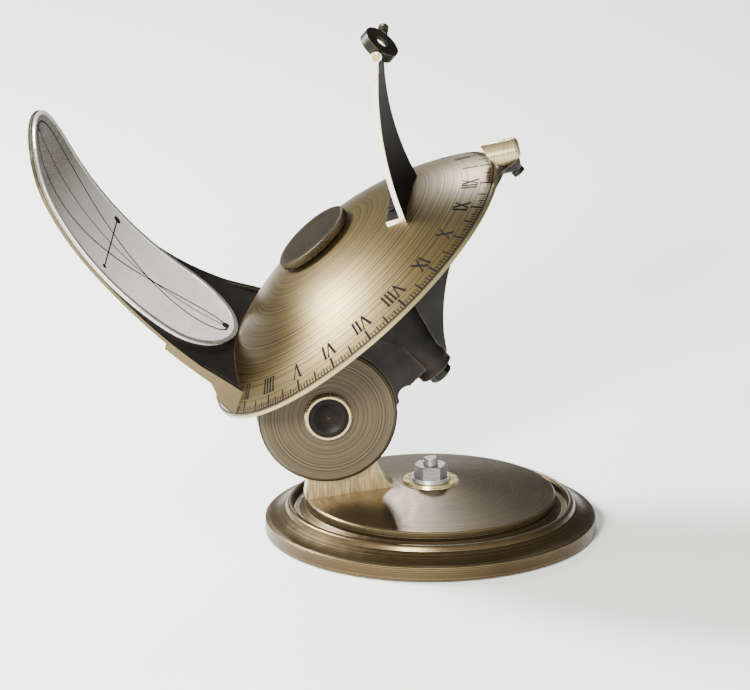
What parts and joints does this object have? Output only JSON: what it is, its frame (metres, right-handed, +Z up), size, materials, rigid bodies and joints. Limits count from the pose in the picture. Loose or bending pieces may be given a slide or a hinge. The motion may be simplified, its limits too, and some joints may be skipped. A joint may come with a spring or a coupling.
{
  "type": "heliochronometer",
  "caption": "Equatorial sun clock: domed hour dial on a tilting polar head, turntable base, lens sight and curved time plate.",
  "frame": {"origin": "centre of the base's underside, on the vertical turning axis", "axes": "+Z up along the vertical turning axis, -X towards the pole (the dial's axis leans that way), Y along the latitude hinge"},
  "size_m": [0.2827, 0.184, 0.2698],
  "materials": {
    "turned_brass": "turned and lacquered, aged",
    "bracket_brass": "filed bright",
    "bright_brass": "polished edges",
    "bush_bronze": "turned bearing bronze",
    "bronze_casting": "cast, dark patina",
    "blackened_brass": "blackened against stray light",
    "dial_brass": "turned in fine rings, engraved",
    "plate_silver": "silvered brass, brushed matt",
    "steel": "turned steel, dull",
    "lens_glass": "polished"
  },
  "bodies": {
    "base": {"base_plate": "turned_brass", "centre_stud": "steel"},
    "clamp": {"clamp_nut": "steel"},
    "table": {"turntable": "turned_brass", "azimuth_bush": "bush_bronze", "foot_bracket": "bracket_brass", "foot_screws": "steel", "clamp_washer": "bright_brass", "clamp_collar": "steel", "hinge_washers": "bush_bronze"},
    "head": {"polar_head": "bronze_casting", "hinge_bolt": "steel", "hinge_nut": "steel", "tilt_ring": "bright_brass", "upper_bush": "bush_bronze", "lower_bush": "bush_bronze", "index_arm": "bronze_casting", "index_arm_screws": "steel", "index_stub": "bright_brass", "index_stub_screw": "steel"},
    "cap": {"tilt_cap": "blackened_brass"},
    "dial": {"polar_spindle": "steel", "spindle_washer": "steel", "spindle_nut": "steel", "dial_carrier": "bush_bronze", "dial_dome": "dial_brass", "sight_vane": "blackened_brass", "vane_screws": "bright_brass", "pivot_screw": "bright_brass", "plate_arm": "blackened_brass", "arm_screws": "bright_brass", "analemma_plate": "plate_silver", "plate_frame": "bright_brass", "plate_screws": "steel"},
    "knob": {"dial_knob": "blackened_brass"},
    "sight": {"lens_ring": "blackened_brass", "lens": "lens_glass", "lens_retainer": "blackened_brass", "ring_knob": "blackened_brass"}
  },
  "joints": [
    {"name": "azimuth_turn", "type": "hinge", "parent": "base", "child": "table", "pos_m": [0, 0, 0.02], "axis": [0, 0, 1], "continuous": true},
    {"name": "clamp_nut_turn", "type": "hinge", "parent": "base", "child": "clamp", "pos_m": [0, 0, 0.032], "axis": [0, 0, 1], "range_deg": [-30, 330]},
    {"name": "latitude_tilt", "type": "hinge", "parent": "table", "child": "head", "pos_m": [-0.0525, 0, 0.066], "axis": [0, 1, 0], "range_deg": [-18, 18]},
    {"name": "tilt_cap_turn", "type": "hinge", "parent": "head", "child": "cap", "pos_m": [-0.0525, -0.017, 0.066], "axis": [0, -1, 0], "range_deg": [0, 180]},
    {"name": "hour_turn", "type": "hinge", "parent": "head", "child": "dial", "pos_m": [-0.03725, 0, 0.13025], "axis": [-0.6587, 0, 0.7524], "continuous": true},
    {"name": "dial_knob_turn", "type": "hinge", "parent": "dial", "child": "knob", "pos_m": [-0.03725, 0, 0.13025], "axis": [-0.6587, 0, 0.7524], "range_deg": [0, 180]},
    {"name": "lens_tilt", "type": "hinge", "parent": "dial", "child": "sight", "pos_m": [-0.02782, -0.0251, 0.26172], "axis": [0.1947, 0.9659, 0.1705], "range_deg": [-24, 48]}
  ]
}
